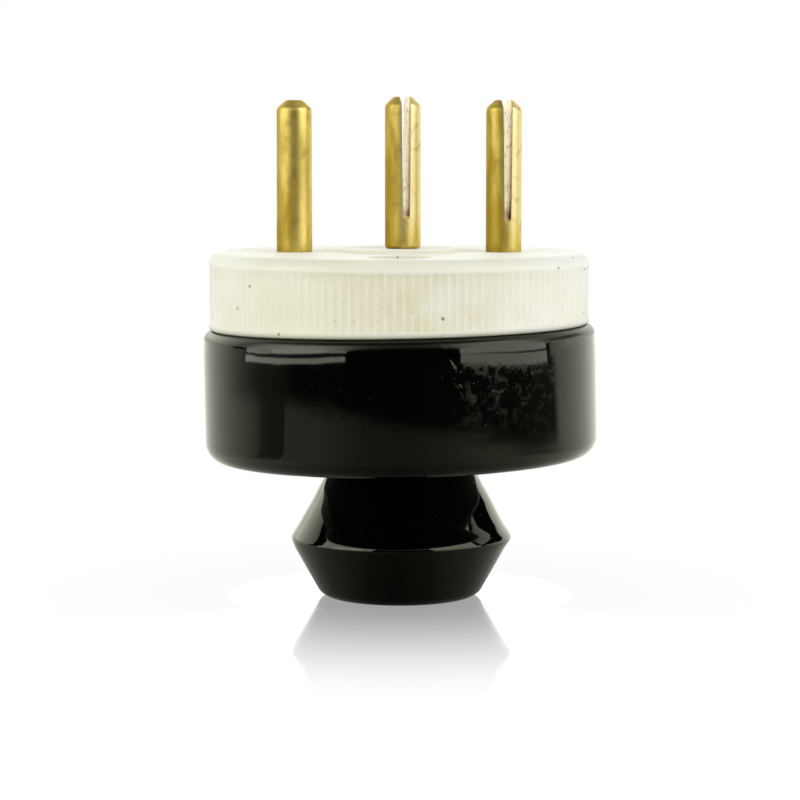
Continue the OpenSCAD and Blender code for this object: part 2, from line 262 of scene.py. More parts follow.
for side in (-1, 1):
    boss = rod(boss_r, floor_z - 1, boss_top, side * screw_y)
    ends = sorted((side * screw_y, side * (hollow_r + 1)))
    combine(boss, block((-boss_r, ends[0], floor_z - 1), (boss_r, ends[1], boss_top)), "UNION")
    combine(cap, boss, "UNION")
    combine(cap, rod(screw_hole_r, screw_hole_low, boss_top + 1.1, side * screw_y), "DIFFERENCE")
    ends = sorted((side * (screw_y + nut_half), side * (screw_y - boss_r - 1)))
    slot = block((-nut_half, ends[0], nut_slot_low), (nut_half, ends[1], nut_top))
    combine(cap, slot, "DIFFERENCE")
smooth(cap)


def coat(piece, *finishes):
    """Gives a piece its materials, and no others."""
    piece.data.materials.clear()
    for finish in finishes:
        piece.data.materials.append(finish)


def linear(code):
    """A colour written as sRGB hex, as the linear values that a shader takes."""
    parts = [int(code[i:i + 2], 16) / 255 for i in (1, 3, 5)]
    return [c / 12.92 if c <= 0.04045 else ((c + 0.055) / 1.055) ** 2.4 for c in parts] + [1]


def new_material(name):
    """An empty material with no nodes yet, ready for nodes to go into its tree."""
    material = bpy.data.materials.new(name)
    material.use_nodes = True
    material.node_tree.nodes.clear()
    return material


def add(where, kind, inputs=None, **settings):
    """Adds a node. Each input is a value or another node's output, under its name or number."""
    made = where.node_tree.nodes.new(kind)
    for setting, value in settings.items():
        setattr(made, setting, value)
    for key, value in (inputs or {}).items():
        if isinstance(value, bpy.types.NodeSocket):
            where.node_tree.links.new(value, made.inputs[key])
        else:
            made.inputs[key].default_value = value
    return made


def specks(where, place, spacing, reach, share):
    """Scattered round specks, 1 inside and 0 outside. Spacing and greatest radius are in mm, and
    share is how much of the cells, one spacing wide each, hold a speck."""
    cells = add(where, "ShaderNodeTexVoronoi", {"Vector": place, "Scale": 1 / (spacing * MM)})
    draw = add(where, "ShaderNodeSeparateColor", {"Color": cells.outputs["Color"]})
    size = add(where, "ShaderNodeMapRange", {
        "Value": draw.outputs["Red"], "From Min": 1 - share, "From Max": 1, "To Max": reach / spacing})
    inside = add(where, "ShaderNodeMath", {
        0: cells.outputs["Distance"], 1: size.outputs["Result"]}, operation="LESS_THAN")
    return inside.outputs["Value"]


def axis_distance(where, place):
    """How far a point lies from the plug's axis."""
    flat = add(where, "ShaderNodeVectorMath", {0: place, 1: (1, 1, 0)}, operation="MULTIPLY")
    radius = add(where, "ShaderNodeVectorMath", {0: flat.outputs["Vector"]}, operation="LENGTH")
    return radius.outputs["Value"]


def lean_height(where, apart):
    """A point's height along the leaning drum, on which the seam is level."""
    height = add(where, "ShaderNodeMath", {
        0: apart.outputs["X"], 1: -tan(seam_lean), 2: apart.outputs["Z"]}, operation="MULTIPLY_ADD")
    return height.outputs["Value"]


# Black porcelain glaze, dipped and fired: a deep gloss that mirrors the room almost sharply, with the
# faint waves of a thick glaze. The front right of the drum is scuffed, with grit fired into it and
# one run where the glaze flowed down before it set
glaze = new_material("black_glaze")
place = add(glaze, "ShaderNodeTexCoord").outputs["Object"]
apart = add(glaze, "ShaderNodeSeparateXYZ", {"Vector": place})
wave_size = 5.0
peel_size = 1.1
patch_size = 1.9
clean_rough = 0.035
scuffed_rough = 0.26
drained_rough = 0.7
wiped_rough = 0.28
waves = add(glaze, "ShaderNodeTexNoise", {"Vector": place, "Scale": 1 / (wave_size * MM), "Detail": 1.0})
peel = add(glaze, "ShaderNodeTexNoise", {"Vector": place, "Scale": 1 / (peel_size * MM), "Detail": 3})
right_side = add(glaze, "ShaderNodeMapRange", {
    "Value": apart.outputs["X"], "From Min": 4 * MM, "From Max": 10 * MM})
front_side = add(glaze, "ShaderNodeMapRange", {
    "Value": apart.outputs["Y"], "From Min": -13 * MM, "From Max": -17 * MM})
upper_wall = add(glaze, "ShaderNodeMapRange", {
    "Value": apart.outputs["Z"], "From Min": 24 * MM, "From Max": 28 * MM})
front_right = add(glaze, "ShaderNodeMath", {
    0: right_side.outputs["Result"], 1: front_side.outputs["Result"]}, operation="MULTIPLY")
below_rim = add(glaze, "ShaderNodeMapRange", {
    "Value": apart.outputs["Z"], "From Min": 34.3 * MM, "From Max": 33.2 * MM})
wall_band = add(glaze, "ShaderNodeMath", {
    0: upper_wall.outputs["Result"], 1: below_rim.outputs["Result"]}, operation="MULTIPLY")
field = add(glaze, "ShaderNodeMath", {
    0: front_right.outputs["Value"], 1: wall_band.outputs["Value"]}, operation="MULTIPLY")
# A small patch of the same grit lies at the left
left_grit = (-12.4 * MM, -23.4 * MM, 31.5 * MM)
left_spot = add(glaze, "ShaderNodeVectorMath", {0: place, 1: left_grit}, operation="DISTANCE")
left_field = add(glaze, "ShaderNodeMapRange", {
    "Value": left_spot.outputs["Value"], "From Min": 2.3 * MM, "From Max": 0.8 * MM, "To Max": 0.8})
gritty_fields = add(glaze, "ShaderNodeMath", {
    0: field.outputs["Value"], 1: left_field.outputs["Result"]}, operation="MAXIMUM")
patches = add(glaze, "ShaderNodeTexNoise", {
    "Vector": place, "Scale": 1 / (patch_size * MM), "Detail": 5, "Roughness": 0.65, "Distortion": 0.8})
patchy = add(glaze, "ShaderNodeMapRange", {
    "Value": patches.outputs["Fac"], "From Min": 0.48, "From Max": 0.64})
scuffed = add(glaze, "ShaderNodeMath", {
    0: field.outputs["Value"], 1: patchy.outputs["Result"]}, operation="MULTIPLY")
anywhere = add(glaze, "ShaderNodeMath", {
    0: gritty_fields.outputs["Value"], 1: 0.5, 2: 0.05}, operation="MULTIPLY_ADD")
fine_grit = specks(glaze, place, spacing=0.5, reach=0.11, share=0.3)
coarse_grit = specks(glaze, place, spacing=1.3, reach=0.17, share=0.3)
grit = add(glaze, "ShaderNodeMath", {0: fine_grit, 1: coarse_grit}, operation="MAXIMUM")
grit_share = add(glaze, "ShaderNodeMath", {
    0: grit.outputs["Value"], 1: anywhere.outputs["Value"]}, operation="MULTIPLY")
body = add(glaze, "ShaderNodeMix", {
    0: grit_share.outputs["Value"], 6: linear("#010101"), 7: linear("#4e4e48")}, data_type="RGBA")
# The run crosses the front from the seam down to the right, not quite straight, and ends in a drop
run_top = (5.9, 34.5)
run_slope = 0.5
run_half = 0.55
run_bend = 1.6
bend_size = 2.5
winding = add(glaze, "ShaderNodeTexNoise", {"Vector": place, "Scale": 1 / (bend_size * MM), "Detail": 2})
bend = add(glaze, "ShaderNodeMath", {0: winding.outputs["Fac"], 1: run_bend * MM}, operation="MULTIPLY")
across_run = add(glaze, "ShaderNodeVectorMath", {0: place, 1: (1, 0, run_slope)}, operation="DOT_PRODUCT")
run_middle = run_top[0] + run_slope * run_top[1] - run_bend / 2
off_run = add(glaze, "ShaderNodeMath", {
    0: across_run.outputs["Value"], 1: run_middle * MM}, operation="SUBTRACT")
bent_off = add(glaze, "ShaderNodeMath", {
    0: off_run.outputs["Value"], 1: bend.outputs["Value"]}, operation="SUBTRACT")
from_run = add(glaze, "ShaderNodeMath", {0: bent_off.outputs["Value"]}, operation="ABSOLUTE")
ridge = add(glaze, "ShaderNodeMapRange", {
    "Value": from_run.outputs["Value"], "From Min": run_half * MM, "From Max": 0},
    interpolation_type="SMOOTHSTEP")
run_end = add(glaze, "ShaderNodeMapRange", {
    "Value": apart.outputs["Z"], "From Min": 29 * MM, "From Max": 30 * MM})
run_front = add(glaze, "ShaderNodeMath", {
    0: run_end.outputs["Result"], 1: front_side.outputs["Result"]}, operation="MULTIPLY")
run = add(glaze, "ShaderNodeMath", {
    0: ridge.outputs["Result"], 1: run_front.outputs["Value"]}, operation="MULTIPLY")
swell = add(glaze, "ShaderNodeBump", {"Height": waves.outputs["Fac"], "Distance": 0.01 * MM})
skin = add(glaze, "ShaderNodeBump", {
    "Height": peel.outputs["Fac"], "Distance": 0.001 * MM, "Normal": swell.outputs["Normal"]})
flowed = add(glaze, "ShaderNodeBump", {
    "Height": run.outputs["Value"], "Distance": 0.02 * MM, "Normal": skin.outputs["Normal"]})
rippled_height = add(glaze, "ShaderNodeMath", {
    0: patches.outputs["Fac"], 1: field.outputs["Value"]}, operation="MULTIPLY")
rippled = add(glaze, "ShaderNodeBump", {
    "Height": rippled_height.outputs["Value"], "Distance": 0.012 * MM,
    "Normal": flowed.outputs["Normal"]})
gritty = add(glaze, "ShaderNodeBump", {
    "Height": grit_share.outputs["Value"], "Distance": 0.05 * MM, "Normal": rippled.outputs["Normal"]})
worn_gloss = add(glaze, "ShaderNodeMapRange", {
    "Value": scuffed.outputs["Value"], "To Min": clean_rough, "To Max": scuffed_rough})
# Under the drum, where the glaze drained away, it is thin and dull
above_waist = add(glaze, "ShaderNodeMath", {
    0: apart.outputs["Z"], 1: (neck_h - 0.4) * MM}, operation="GREATER_THAN")
below_wall = add(glaze, "ShaderNodeMath", {
    0: apart.outputs["Z"], 1: (neck_h + 0.5) * MM}, operation="LESS_THAN")
inside_wall = add(glaze, "ShaderNodeMath", {
    0: axis_distance(glaze, place), 1: (drum_r - 3) * MM}, operation="LESS_THAN")
level_with = add(glaze, "ShaderNodeMath", {
    0: above_waist.outputs["Value"], 1: below_wall.outputs["Value"]}, operation="MULTIPLY")
under_drum = add(glaze, "ShaderNodeMath", {
    0: level_with.outputs["Value"], 1: inside_wall.outputs["Value"]}, operation="MULTIPLY")
dull_below = add(glaze, "ShaderNodeMix", {
    0: under_drum.outputs["Value"], 2: worn_gloss.outputs["Result"], 3: drained_rough})
# The rim was wiped before the firing, so its glaze is thin and only half glossy
wiped = add(glaze, "ShaderNodeMapRange", {
    "Value": lean_height(glaze, apart), "From Min": (seam_z - rim_r) * MM,
    "From Max": (seam_z - rim_r + 0.35) * MM})
rough = add(glaze, "ShaderNodeMix", {
    0: wiped.outputs["Result"], 2: dull_below.outputs[0], 3: wiped_rough})
glaze_shader = add(glaze, "ShaderNodeBsdfPrincipled", {
    "Base Color": body.outputs[2], "Roughness": rough.outputs[0], "IOR": 1.5,
    "Specular Tint": linear("#fafce2"), "Normal": gritty.outputs["Normal"]})
add(glaze, "ShaderNodeOutputMaterial", {"Surface": glaze_shader.outputs["BSDF"]})
coat(cap, glaze)
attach(cap, "root")
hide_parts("cap")

# Pin plate. The white half is unglazed porcelain, pressed in a die whose grooves left 140 fine ribs
# round its edge for the fingers. The spigot under it centres it in the drum, each pin's terminal
# sits in a pocket of its own, and the two screws' heads lie in round recesses in the face.

face_z = 46.7
plate_r = 25.65
rib_count = 140
rib_steps = 8
rib_h = 0.15
rib_crest_r = 25.59
rib_top_z = 45.1
lip_h = 0.6
groove_r = rib_crest_r - rib_h
slope = 0.3
shoulder_r = 1.8
spigot_r = 21.8
spigot_z = 34.75
# The middle pin stands on a low round boss
boss_rise = 0.45
face_boss_r = 8.0


def put(piece, x=0, y=0, z=0, turn=0):
    """Turns a piece about the upright axis and moves it, in mm, and bakes both into its mesh."""
    select_only(piece)
    piece.rotation_euler.z = turn
    piece.location = (x * MM, y * MM, z * MM)
    bpy.ops.object.transform_apply(location=True, rotation=True, scale=True)
    return piece


def sector(name, corners, turn, steps):
    """Spins an outline through one small turn about the upright axis, with open ends."""
    piece = outline(name, corners)
    bpy.ops.mesh.select_all(action="SELECT")
    bpy.ops.mesh.spin(steps=steps, angle=turn, center=(0, 0, 0), axis=(0, 0, 1))
    bpy.ops.mesh.select_all(action="SELECT")
    bpy.ops.mesh.remove_doubles(threshold=0.0005 * MM)
    bpy.ops.object.mode_set(mode="OBJECT")
    return piece


rib_turn = 2 * pi / rib_count
# Rings between the corners keep the faces small, so that the ribs can wear unevenly
face_rings = (9.5, 13.0, 17.0, 21.0)
edge_rings = (43.6, 42.4, 41.2, 40.0, 38.8)
spigot_rings = (18.0, 10.0)
plate = sector("pin_plate_body", [
    (0, face_z + boss_rise, 0),
    (face_boss_r - 1, face_z + boss_rise, 0),
    (face_boss_r, face_z + boss_rise, 0.2),
    (face_boss_r, face_z, 0.2),
    *((ring, face_z, 0) for ring in face_rings),
    (plate_r, face_z, shoulder_r),
    (plate_r, rib_top_z, 0),
    (groove_r, rib_top_z - slope, 0),
    *((groove_r, ring, 0) for ring in edge_rings),
    (groove_r, seam_z + lip_h + slope, 0),
    (plate_r, seam_z + lip_h, 0),
    (plate_r, seam_z, 0.38),
    (spigot_r, seam_z, 0),
    (spigot_r, spigot_z, 0.3),
    *((ring, spigot_z, 0) for ring in spigot_rings),
    (0, spigot_z, 0),
], rib_turn, rib_steps)

# The middle columns of the sector rise to the rib's rounded crest
start_edit(plate)


def column(x, y):
    """How far round the sector a point lies, counted in columns of faces."""
    return abs(atan2(y, x)) / (rib_turn / rib_steps)


for low, high, rise in ((2.5, 5.5, rib_h - 0.04), (3.5, 4.5, 0.04)):
    pick(plate, lambda x, y, z: low < column(x, y) < high and abs(hypot(x, y) - groove_r) < 0.01
         and seam_z + lip_h < z < rib_top_z)
    grow = 1 + rise / groove_r
    bpy.ops.transform.resize(value=(grow, grow, 1), center_override=(0, 0, 0))
bpy.ops.object.mode_set(mode="OBJECT")

bpy.ops.object.select_all(action="DESELECT")
bpy.ops.object.empty_add(location=(0, 0, 0))
turner = bpy.context.object
side_sign = 1 if max(v.co.y for v in plate.data.vertices) > 0.0001 else -1
turner.rotation_euler.z = side_sign * rib_turn
apply_change(plate, "ARRAY", count=rib_count, use_relative_offset=False, use_object_offset=True,
             offset_object=turner, use_merge_vertices=True, merge_threshold=0.002 * MM)
bpy.data.objects.remove(turner)
start_edit(plate)
bpy.ops.mesh.select_all(action="SELECT")
bpy.ops.mesh.remove_doubles(threshold=0.01 * MM)
bpy.ops.mesh.normals_make_consistent(inside=False)

# The underside rests on the leaning seam
pick(plate, lambda x, y, z: seam_z - 0.5 < z < seam_z + lip_h + slope + 0.1)
bpy.ops.transform.rotate(value=seam_lean, orient_axis="Y", center_override=(0, 0, seam_z * MM))
bpy.ops.object.mode_set(mode="OBJECT")

# Ribs wear down unevenly under the fingers
crests = plate.vertex_groups.new(name="crests")
worn = [v.index for v in plate.data.vertices
        if rib_crest_r - 0.1 < hypot(v.co.x, v.co.y) / MM < rib_crest_r + 0.01
        and 37 < v.co.z / MM < rib_top_z]
crests.add(worn, 1, "REPLACE")
blotches = bpy.data.textures.new("rib_wear", "CLOUDS")
blotches.noise_scale = 2.2 * MM
blotches.noise_depth = 3
apply_change(plate, "DISPLACE", texture=blotches, texture_coords="LOCAL", strength=0.21 * MM,
             mid_level=0.75, vertex_group="crests")

# Pockets, pin holes and screw recesses are formed by the die's cores
pin_x = (-14.1, 0.5, 14.1)
pin_seat = (face_z, face_z + boss_rise, face_z)
pin_hole_r = 1.9
pocket_r = 6.0
# The porcelain between the face and a pocket's floor
plate_floor = 5.0
# A screw's recess, and the flange of the core that forms it
recess_r = 3.9
recess_z = 42.7
recess_edge = 0.5
flange_r = 6.0
for x, seat in zip(pin_x, pin_seat):
    core = turned("core", [
        (0, spigot_z - 1, 0),
        (pocket_r, spigot_z - 1, 0),
        (pocket_r, seat - plate_floor, 0.3),
        (pin_hole_r, seat - plate_floor, 0),
        (pin_hole_r, seat + 1, 0),
        (0, seat + 1, 0),
    ], around=64)
    combine(plate, put(core, x=x), "DIFFERENCE")
for side in (-1, 1):
    core = turned("core", [
        (0, spigot_z - 1, 0),
        (screw_hole_r, spigot_z - 1, 0),
        (screw_hole_r, recess_z, 0),
        (recess_r, recess_z, 0.2),
        (recess_r, face_z, recess_edge),
        (flange_r, face_z, 0),
        (flange_r, face_z + 1, 0),
        (0, face_z + 1, 0),
    ], around=64)
    combine(plate, put(core, y=side * screw_y), "DIFFERENCE")
smooth(plate)

# Unglazed porcelain, pressed and fired: a warm white, slightly chalky skin with iron specks that
# fired brown, fine grain, a little dirt with painted shade in the grooves and along the seam, and painted
# light and shade across the front
cloud_size = 7.0
lump_size = 3.0
grain_size = 0.5
porcelain = new_material("white_porcelain")
place = add(porcelain, "ShaderNodeTexCoord").outputs["Object"]
apart = add(porcelain, "ShaderNodeSeparateXYZ", {"Vector": place})
clouds = add(porcelain, "ShaderNodeTexNoise", {
    "Vector": place, "Scale": 1 / (cloud_size * MM), "Detail": 4})
# Over random clouds of tone, painted shade makes the body a little darker and more yellow left of the
# middle, and painted light makes the right end a little paler
painted_shade_left = add(porcelain, "ShaderNodeMapRange", {
    "Value": apart.outputs["X"], "From Min": -20 * MM, "From Max": -16 * MM, "To Max": 0.4})
plainer = add(porcelain, "ShaderNodeMapRange", {
    "Value": apart.outputs["X"], "From Min": -10 * MM, "From Max": -4 * MM, "To Max": 0.4})
painted_light_right = add(porcelain, "ShaderNodeMapRange", {
    "Value": apart.outputs["X"], "From Min": 11 * MM, "From Max": 22 * MM, "To Max": 0.6})
cloudy = add(porcelain, "ShaderNodeMath", {
    0: clouds.outputs["Fac"], 1: painted_shade_left.outputs["Result"]}, operation="ADD")
left_only = add(porcelain, "ShaderNodeMath", {
    0: cloudy.outputs["Value"], 1: plainer.outputs["Result"]}, operation="SUBTRACT")
tone_and_painted_light = add(porcelain, "ShaderNodeMath", {
    0: left_only.outputs["Value"], 1: painted_light_right.outputs["Result"]}, operation="SUBTRACT", use_clamp=True)
tone = add(porcelain, "ShaderNodeMix", {
    0: tone_and_painted_light.outputs["Value"], 6: linear("#ecebe1"), 7: linear("#dfdec3")}, data_type="RGBA")
radius = axis_distance(porcelain, place)
# The grooves are darkened by dirt and by painted shade, most in the middle of the front
sunk = add(porcelain, "ShaderNodeMapRange", {
    "Value": radius, "From Min": (rib_crest_r - 0.03) * MM, "From Max": groove_r * MM})
below_face = add(porcelain, "ShaderNodeMath", {
    0: apart.outputs["Z"], 1: rib_top_z * MM}, operation="LESS_THAN")
edge_only = add(porcelain, "ShaderNodeMath", {
    0: radius, 1: (groove_r - 0.2) * MM}, operation="GREATER_THAN")
on_edge = add(porcelain, "ShaderNodeMath", {
    0: below_face.outputs["Value"], 1: edge_only.outputs["Value"]}, operation="MULTIPLY")
in_groove = add(porcelain, "ShaderNodeMath", {
    0: sunk.outputs["Result"], 1: on_edge.outputs["Value"]}, operation="MULTIPLY")
patchy_groove_share = add(porcelain, "ShaderNodeMapRange", {
    "Value": clouds.outputs["Fac"], "From Min": 0.35, "From Max": 0.65, "To Min": 0.3})
right_of_middle = add(porcelain, "ShaderNodeMapRange", {
    "Value": apart.outputs["X"], "From Min": -9 * MM, "From Max": 2 * MM, "To Min": 0.3})
left_of_right = add(porcelain, "ShaderNodeMapRange", {
    "Value": apart.outputs["X"], "From Min": 14 * MM, "From Max": 4 * MM, "To Min": 0.35})
mostly_middle = add(porcelain, "ShaderNodeMath", {
    0: right_of_middle.outputs["Result"], 1: left_of_right.outputs["Result"]}, operation="MULTIPLY")
dirt_and_shade_share = add(porcelain, "ShaderNodeMath", {
    0: patchy_groove_share.outputs["Result"], 1: mostly_middle.outputs["Value"]}, operation="MULTIPLY")
groove_dirt_and_shade = add(porcelain, "ShaderNodeMath", {
    0: in_groove.outputs["Value"], 1: dirt_and_shade_share.outputs["Value"]}, operation="MULTIPLY")
groove_shaded = add(porcelain, "ShaderNodeMix", {
    0: groove_dirt_and_shade.outputs["Value"], 6: tone.outputs[2], 7: linear("#d6cfa8")}, data_type="RGBA")
# A dark band along the seam, partly dirt and partly painted contact shade where the plate meets the drum,
# follows its lean
seam_dirt_and_shade = add(porcelain, "ShaderNodeMapRange", {
    "Value": lean_height(porcelain, apart), "From Min": (seam_z + 0.85) * MM,
    "From Max": (seam_z - 0.1) * MM, "To Max": 0.6})
seam_shaded = add(porcelain, "ShaderNodeMix", {
    0: seam_dirt_and_shade.outputs["Result"], 6: groove_shaded.outputs[2], 7: linear("#6b6642")}, data_type="RGBA")
speck = specks(porcelain, place, spacing=1.9, reach=0.27, share=0.5)
speckled = add(porcelain, "ShaderNodeMix", {
    0: speck, 6: seam_shaded.outputs[2], 7: linear("#877c5e")}, data_type="RGBA")
fine_speck = specks(porcelain, place, spacing=0.9, reach=0.14, share=0.6)
fine_share = add(porcelain, "ShaderNodeMath", {0: fine_speck, 1: 0.45}, operation="MULTIPLY")
all_speckled = add(porcelain, "ShaderNodeMix", {
    0: fine_share.outputs["Value"], 6: speckled.outputs[2], 7: linear("#a39a78")}, data_type="RGBA")
grain = add(porcelain, "ShaderNodeTexNoise", {
    "Vector": place, "Scale": 1 / (grain_size * MM), "Detail": 4})
lumps = add(porcelain, "ShaderNodeTexNoise", {
    "Vector": place, "Scale": 1 / (lump_size * MM), "Detail": 2})
lumpy = add(porcelain, "ShaderNodeBump", {"Height": lumps.outputs["Fac"], "Distance": 0.05 * MM})
grainy = add(porcelain, "ShaderNodeBump", {
    "Height": grain.outputs["Fac"], "Distance": 0.012 * MM, "Normal": lumpy.outputs["Normal"]})
porcelain_shader = add(porcelain, "ShaderNodeBsdfPrincipled", {
    "Base Color": all_speckled.outputs[2], "Roughness": 0.5, "IOR": 1.5, "Sheen Weight": 0.5,
    "Sheen Roughness": 0.4, "Normal": grainy.outputs["Normal"]})
add(porcelain, "ShaderNodeOutputMaterial", {"Surface": porcelain_shader.outputs["BSDF"]})
coat(plate, porcelain)
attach(plate, "root")
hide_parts("pin_plate")

# Pins. Each is turned from brass rod with a smaller threaded shank behind, then slit down the middle
# with a slitting saw and sprung open a little, so that it grips in its socket. It passes through
# the plate and is drawn down on its shoulder by the nut in the pocket.

pin_r = 2.4
pin_len = 20.35
tip_r = 1.2
tip_h = 1.1
shank_r = 1.75
shank_len = 12.7
thread_chamfer = 0.4
slot_len = 16.25
# Half the slot's width at its root and at the tip
slot_root = 0.45
slot_tip = 0.65


def break_edges(piece):
    """Takes the sharpness off the edges of a turned and sawn piece."""
    apply_change(piece, "BEVEL", width=0.05 * MM, segments=2, limit_method="ANGLE",
                 angle_limit=radians(40))


def slotted_pin(name, foot):
    """One pin standing on the origin, its slot along the Y axis and its foot rounded by so much."""
    piece = turned(name, [
        (0, -shank_len, 0),
        (shank_r - thread_chamfer, -shank_len, 0),
        (shank_r, -shank_len + thread_chamfer, 0),
        (shank_r, 0, 0),
        (pin_r, 0, foot),
        (pin_r, pin_len - tip_h, 0.9),
        (tip_r, pin_len, 0.45),
        (0, pin_len, 0),
    ], around=96, longest=1.5)
    saw = block((-slot_root, -pin_r - 1, pin_len - slot_len), (slot_root, pin_r + 1, pin_len + 1))
    start_edit(saw)
    pick(saw, lambda x, y, z: z < pin_len)
    # The saw's round edge
    bpy.ops.mesh.bevel(affect="EDGES", offset=slot_root * 0.9 * MM, segments=6)
    pick(saw, lambda x, y, z: z > pin_len)
    bpy.ops.transform.resize(value=(slot_tip / slot_root, 1, 1), center_override=(0, 0, 0))
    bpy.ops.object.mode_set(mode="OBJECT")
    combine(piece, saw, "DIFFERENCE")
    break_edges(piece)
    smooth(piece)
    return piece


# Turned brass, handled and tarnished: a soft gloss under an olive film, streaked along the rod where
# fingers and old sockets left it, with more film on the left and low down, partly as painted shade. The
# right prong of a slit pin carries a pale painted highlight, and a few brown spots have settled below
film_size = 1.5
stain_size = 1.6
tool_mark_size = 1.8
brass = new_material("turned_brass")
place = add(brass, "ShaderNodeTexCoord").outputs["Object"]
apart = add(brass, "ShaderNodeSeparateXYZ", {"Vector": place})
along_rod = add(brass, "ShaderNodeMapping", {"Vector": place, "Scale": (1, 1, 0.25)})
films = add(brass, "ShaderNodeTexNoise", {
    "Vector": along_rod.outputs["Vector"], "Scale": 1 / (film_size * MM), "Detail": 5})
film = add(brass, "ShaderNodeMapRange", {
    "Value": films.outputs["Fac"], "From Min": 0.38, "From Max": 0.64})
# The pins stand about 14.1 mm apart, so one wrapped coordinate gives the side of each of them
half_pitch = pin_x[2] / 2 * MM
from_axis = add(brass, "ShaderNodeMath", {
    0: apart.outputs["X"], 1: half_pitch, 2: -half_pitch}, operation="WRAP")
right_prong = add(brass, "ShaderNodeMapRange", {
    "Value": from_axis.outputs["Value"], "From Min": -0.2 * MM, "From Max": 1 * MM})
slit_pins = add(brass, "ShaderNodeMapRange", {
    "Value": apart.outputs["X"], "From Min": -8 * MM, "From Max": -6 * MM})
above_root = add(brass, "ShaderNodeMapRange", {
    "Value": apart.outputs["Z"], "From Min": 48.5 * MM, "From Max": 52.5 * MM})
slit_right = add(brass, "ShaderNodeMath", {
    0: right_prong.outputs["Result"], 1: slit_pins.outputs["Result"]}, operation="MULTIPLY")
# Painted highlight: the right prongs of the slit pins are painted pale and bright above the slot's root
right_prong_highlight = add(brass, "ShaderNodeMath", {
    0: slit_right.outputs["Value"], 1: above_root.outputs["Result"]}, operation="MULTIPLY")
# More film on the slit pins' left prongs, and on the left half of every pin growing towards its foot,
# partly painted shade
left_prong_shade = add(brass, "ShaderNodeMath", {
    0: slit_pins.outputs["Result"], 1: slit_right.outputs["Value"]}, operation="SUBTRACT")
lower_shade = add(brass, "ShaderNodeMapRange", {
    "Value": apart.outputs["Z"], "From Min": 64 * MM, "From Max": 48 * MM, "To Min": 0.3, "To Max": 0.7})
left_prong = add(brass, "ShaderNodeMapRange", {
    "Value": from_axis.outputs["Value"], "From Min": 0.6 * MM, "From Max": -0.6 * MM, "To Min": 0.15})
left_film_and_shade = add(brass, "ShaderNodeMath", {
    0: lower_shade.outputs["Result"], 1: left_prong.outputs["Result"]}, operation="MULTIPLY")
more_film_and_shade = add(brass, "ShaderNodeMath", {
    0: left_prong_shade.outputs["Value"], 1: 0.2, 2: left_film_and_shade.outputs["Value"]}, operation="MULTIPLY_ADD")
film_and_shade = add(brass, "ShaderNodeMath", {
    0: film.outputs["Result"], 1: 0.45, 2: more_film_and_shade.outputs["Value"]},
    operation="MULTIPLY_ADD", use_clamp=True)
filmed = add(brass, "ShaderNodeMix", {
    0: film_and_shade.outputs["Value"], 6: linear("#e3cd74"), 7: linear("#9f862c")}, data_type="RGBA")
colour = add(brass, "ShaderNodeMix", {
    0: right_prong_highlight.outputs["Value"], 6: filmed.outputs[2], 7: linear("#e6d69c")}, data_type="RGBA")
spots = add(brass, "ShaderNodeTexNoise", {"Vector": place, "Scale": 1 / (stain_size * MM), "Detail": 4})
spot = add(brass, "ShaderNodeMapRange", {
    "Value": spots.outputs["Fac"], "From Min": 0.56, "From Max": 0.7, "To Max": 0.35})
spotted = add(brass, "ShaderNodeMix", {
    0: spot.outputs["Result"], 6: colour.outputs[2], 7: linear("#6f5622")}, data_type="RGBA")
round_rod = add(brass, "ShaderNodeMapping", {"Vector": place, "Scale": (1, 1, 3)})
rings = add(brass, "ShaderNodeTexNoise", {
    "Vector": round_rod.outputs["Vector"], "Scale": 1 / (tool_mark_size * MM), "Detail": 2})
ring_bump = add(brass, "ShaderNodeBump", {"Height": rings.outputs["Fac"], "Distance": 0.004 * MM})
dull = add(brass, "ShaderNodeMapRange", {"Value": film_and_shade.outputs["Value"], "To Min": 0.36, "To Max": 0.5})
bare = add(brass, "ShaderNodeMapRange", {
    "Value": film_and_shade.outputs["Value"], "To Min": 0.88, "To Max": 0.66})
brass_shader = add(brass, "ShaderNodeBsdfPrincipled", {
    "Base Color": spotted.outputs[2], "Metallic": bare.outputs["Result"],
    "Roughness": dull.outputs["Result"], "Specular Tint": linear("#ecdfb4"),
    "Normal": ring_bump.outputs["Normal"]})
add(brass, "ShaderNodeOutputMaterial", {"Surface": brass_shader.outputs["BSDF"]})

# Sawn brass, as the slitting saw left it: paler and cleaner than the turned skin, matt and speckled,
# and red-brown at the slot's end, where dirt has stayed
tear_size = 0.9
sawn = new_material("sawn_brass")
place = add(sawn, "ShaderNodeTexCoord").outputs["Object"]
tears = add(sawn, "ShaderNodeTexNoise", {"Vector": place, "Scale": 1 / (tear_size * MM), "Detail": 3})
torn = add(sawn, "ShaderNodeMapRange", {"Value": tears.outputs["Fac"], "From Min": 0.52, "From Max": 0.68})
sawn_tone = add(sawn, "ShaderNodeMix", {
    0: torn.outputs["Result"], 6: linear("#e6d8bf"), 7: linear("#a5947a")}, data_type="RGBA")
height = add(sawn, "ShaderNodeSeparateXYZ", {"Vector": place}).outputs["Z"]
at_root = add(sawn, "ShaderNodeMapRange", {
    "Value": height, "From Min": 53 * MM, "From Max": 51.7 * MM, "To Max": 0.85})
sawn_rust = add(sawn, "ShaderNodeMix", {
    0: at_root.outputs["Result"], 6: sawn_tone.outputs[2], 7: linear("#8c5030")}, data_type="RGBA")
saw_bump = add(sawn, "ShaderNodeBump", {"Height": tears.outputs["Fac"], "Distance": 0.008 * MM})
sawn_shader = add(sawn, "ShaderNodeBsdfPrincipled", {
    "Base Color": sawn_rust.outputs[2], "Metallic": 1.0, "Roughness": 0.36,
    "Normal": saw_bump.outputs["Normal"]})
add(sawn, "ShaderNodeOutputMaterial", {"Surface": sawn_shader.outputs["BSDF"]})

